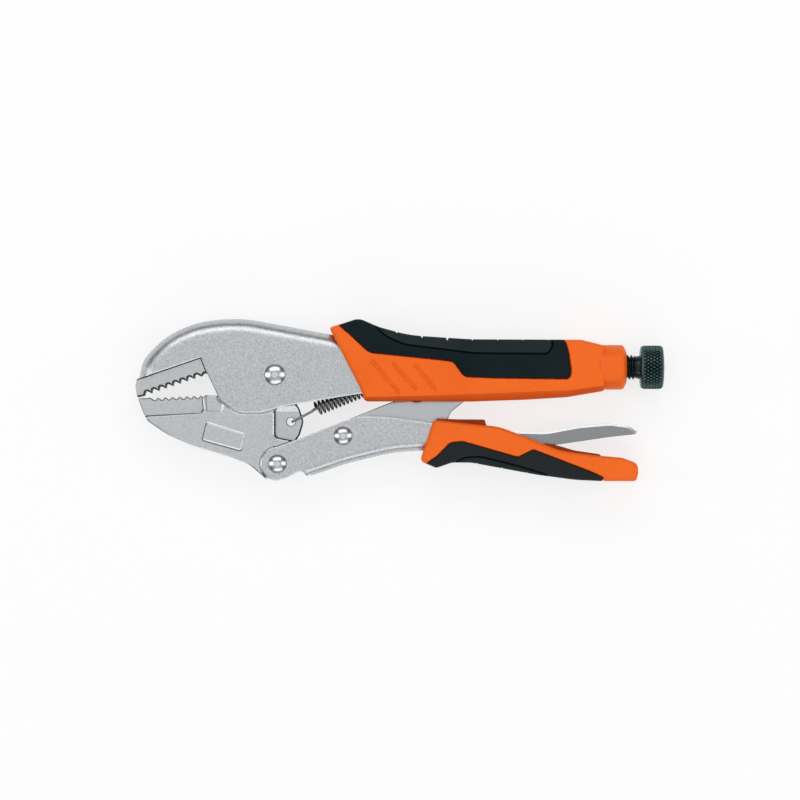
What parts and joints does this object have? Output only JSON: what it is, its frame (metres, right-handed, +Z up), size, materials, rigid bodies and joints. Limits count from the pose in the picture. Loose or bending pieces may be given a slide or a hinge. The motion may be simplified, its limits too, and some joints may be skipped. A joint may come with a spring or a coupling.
{
  "type": "locking pliers",
  "caption": "Locking pliers with a curved toothed jaw, pressed-steel handles, orange and black moulded grips, release lever and knurled adjusting screw.",
  "frame": {"origin": "middle of the bounding box in X and Y, on the plane the tool lies on", "axes": "+X from the jaws to the knurled screw, +Y from the moving lever to the fixed handle, +Z up through the tool's thickness as it lies on its side"},
  "size_m": [0.254, 0.0779, 0.023],
  "materials": {
    "satin_steel": "satin nickel plate with a fine cast speckle",
    "jaw_steel": "satin nickel plate",
    "bright_steel": "bright nickel plate",
    "spring_wire": "dark spring wire",
    "orange_shell": "fine matt",
    "black_rubber": "matt",
    "black_oxide": "black oxide, satin"
  },
  "bodies": {
    "handle": {"handle_frame": "satin_steel", "upper_jaw": "jaw_steel", "main_pivot_rivet": "bright_steel", "spring_anchor_pin": "bright_steel", "screw_bush": "bright_steel", "handle_grip": "orange_shell", "handle_grip_inlay": "black_rubber", "handle_palm_pad": "black_rubber"},
    "jaw": {"lower_jaw": "jaw_steel", "return_spring": "spring_wire"},
    "lever": {"lever_frame": "satin_steel", "lever_pivot_rivet": "bright_steel", "link_rivet": "bright_steel", "release_pin": "bright_steel", "lever_grip": "orange_shell", "lever_grip_inlay": "black_rubber", "lever_finger_pad": "black_rubber"},
    "toggle_link": {"link": "satin_steel"},
    "release": {"release_lever": "bright_steel"},
    "screw": {"adjusting_screw": "black_oxide"}
  },
  "joints": [
    {"name": "jaw_pivot", "type": "hinge", "parent": "handle", "child": "jaw", "pos_m": [-0.06, 0.0121, 0.0115], "axis": [0, 0, 1], "range_deg": [0, 16], "deforming": ["return_spring"]},
    {"name": "lever_pivot", "type": "hinge", "parent": "jaw", "child": "lever", "pos_m": [-0.0588, -0.0306, 0.0115], "axis": [0, 0, 1], "range_deg": [-60, 0]},
    {"name": "link_pivot", "type": "hinge", "parent": "lever", "child": "toggle_link", "pos_m": [-0.0273, -0.0172, 0.0115], "axis": [0, 0, 1], "range_deg": [0, 62]},
    {"name": "release_pivot", "type": "hinge", "parent": "lever", "child": "release", "pos_m": [0.0374, -0.0186, 0.0115], "axis": [0, 0, 1], "range_deg": [-7, 0]},
    {"name": "screw_turn", "type": "hinge", "parent": "handle", "child": "screw", "pos_m": [0.09, 0.0157, 0.0115], "axis": [1, 0, 0], "continuous": true}
  ],
  "couplings": [
    {"joint": "jaw_pivot", "follows": "lever_pivot", "ratio": -0.2666},
    {"joint": "link_pivot", "follows": "lever_pivot", "ratio": -1.0333}
  ]
}
